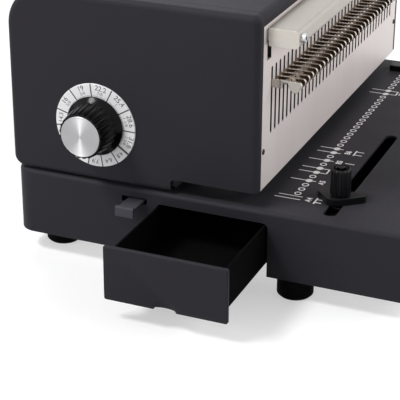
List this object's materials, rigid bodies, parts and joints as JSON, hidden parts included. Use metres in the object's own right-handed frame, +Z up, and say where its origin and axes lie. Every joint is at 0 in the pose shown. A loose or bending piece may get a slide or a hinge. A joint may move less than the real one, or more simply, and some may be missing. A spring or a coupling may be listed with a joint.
{
  "type": "wire binding machine",
  "caption": "Bench machine that punches square holes along a paper edge and closes twin-loop wire, with a lever, a size dial, a hook row, paper stops and a chip drawer.",
  "frame": {"origin": "middle of the whole machine's footprint box, drawer and handle included, on the plane of the feet's soles", "axes": "+X along the punch line towards the handle, +Y from the paper deck to the back, +Z up"},
  "size_m": [0.4634, 0.3244, 0.3882],
  "materials": {
    "graphite_paint": "fine satin powder coat",
    "bright_plate": "brushed along X",
    "nickel": "bright nickel plate",
    "machined_steel": "ground",
    "zinc_steel": "zinc plated sheet",
    "black_knob": "fine matte",
    "spun_cap": "spun satin",
    "dial_print": "printed film",
    "black_rubber": "matte",
    "bronze": "turned",
    "grey_stop": "satin"
  },
  "bodies": {
    "frame": {"base_shell": "graphite_paint", "base_floor": "zinc_steel", "rubber_feet": "black_rubber", "foot_screws": "machined_steel", "drawer_runners": "zinc_steel", "left_end_cover": "graphite_paint", "right_end_cover": "graphite_paint", "top_back_cover": "graphite_paint", "left_frame_plate": "zinc_steel", "right_frame_plate": "zinc_steel", "cover_spacers": "machined_steel", "tie_bars": "machined_steel", "shaft_bushes": "bronze", "dial_bush": "bronze", "front_plate": "bright_plate", "front_plate_screws": "black_knob", "rod_blocks": "machined_steel", "guide_rods": "machined_steel", "dial_ring": "dial_print", "adjuster_guide_pins": "machined_steel", "die_plate": "machined_steel", "stripper_plate": "machined_steel", "die_spacers": "machined_steel", "throat_guide": "zinc_steel", "ram_posts": "machined_steel", "ram_springs": "zinc_steel", "side_stop": "grey_stop"},
    "handle": {"drive_shaft": "machined_steel", "punch_cams": "machined_steel", "press_cams": "machined_steel", "handle_hub": "graphite_paint", "handle_rod": "nickel", "handle_grip": "black_rubber"},
    "ram": {"punch_ram": "machined_steel", "punch_pins": "machined_steel", "ram_rollers": "machined_steel"},
    "press": {"press_yoke": "machined_steel", "press_rollers": "machined_steel", "press_bar": "nickel", "press_bar_screws": "machined_steel"},
    "dial": {"size_knob": "black_knob", "knob_cap": "spun_cap", "dial_shaft": "machined_steel", "scroll_cam": "zinc_steel"},
    "adjuster": {"adjuster_slide": "zinc_steel"},
    "hooks": {"hook_carriage": "machined_steel", "wire_hooks": "nickel"},
    "drawer": {"drawer_box": "graphite_paint", "drawer_front": "graphite_paint"},
    "depth": {"depth_lever": "black_knob", "depth_gauge": "zinc_steel"},
    "stop": {"edge_stop": "grey_stop", "tee_nut": "machined_steel"},
    "clamp": {"stop_knob": "black_knob", "stop_stud": "machined_steel"}
  },
  "joints": [
    {"name": "handle_pull", "type": "hinge", "parent": "frame", "child": "handle", "pos_m": [0.02535, 0.01875, 0.1885], "axis": [1, 0, 0], "range_deg": [0, 75]},
    {"name": "ram_slide", "type": "slide", "parent": "frame", "child": "ram", "axis": [0, 0, -1], "range_m": [0, 0.009], "stiffness_N_per_m": 2000, "springref_m": -0.02, "deforming": ["ram_springs"]},
    {"name": "press_slide", "type": "slide", "parent": "frame", "child": "press", "axis": [0, 0, -1], "range_m": [0, 0.014], "stiffness_N_per_m": 400, "springref_m": -0.036},
    {"name": "size_dial", "type": "hinge", "parent": "frame", "child": "dial", "pos_m": [-0.15375, 0.09035, 0.1139], "axis": [1, 0, 0], "range_deg": [-105.3, 224.8]},
    {"name": "adjuster_slide", "type": "slide", "parent": "frame", "child": "adjuster", "axis": [0, -1, 0], "range_m": [-0.0081, 0.0173]},
    {"name": "hook_slide", "type": "slide", "parent": "frame", "child": "hooks", "axis": [0, 0, -1], "range_m": [-0.0081, 0.0173]},
    {"name": "drawer_slide", "type": "slide", "parent": "frame", "child": "drawer", "axis": [-1, 0, 0], "range_m": [-0.0737, 0.15]},
    {"name": "depth_slide", "type": "slide", "parent": "frame", "child": "depth", "axis": [0, 1, 0], "range_m": [-0.002, 0.0044]},
    {"name": "stop_slide", "type": "slide", "parent": "frame", "child": "stop", "axis": [1, 0, 0], "range_m": [-0.017, 0.128]},
    {"name": "clamp_turn", "type": "hinge", "parent": "stop", "child": "clamp", "pos_m": [-0.11525, -0.08815, 0.0685], "axis": [0, 0, 1], "range_deg": [0, 270]}
  ],
  "couplings": [
    {"joint": "handle_pull", "follows": "ram_slide", "rad_per_m": 145.44},
    {"joint": "press_slide", "follows": "ram_slide", "ratio": 1.5556},
    {"joint": "size_dial", "follows": "hook_slide", "rad_per_m": 226.75},
    {"joint": "adjuster_slide", "follows": "hook_slide", "ratio": 1}
  ]
}
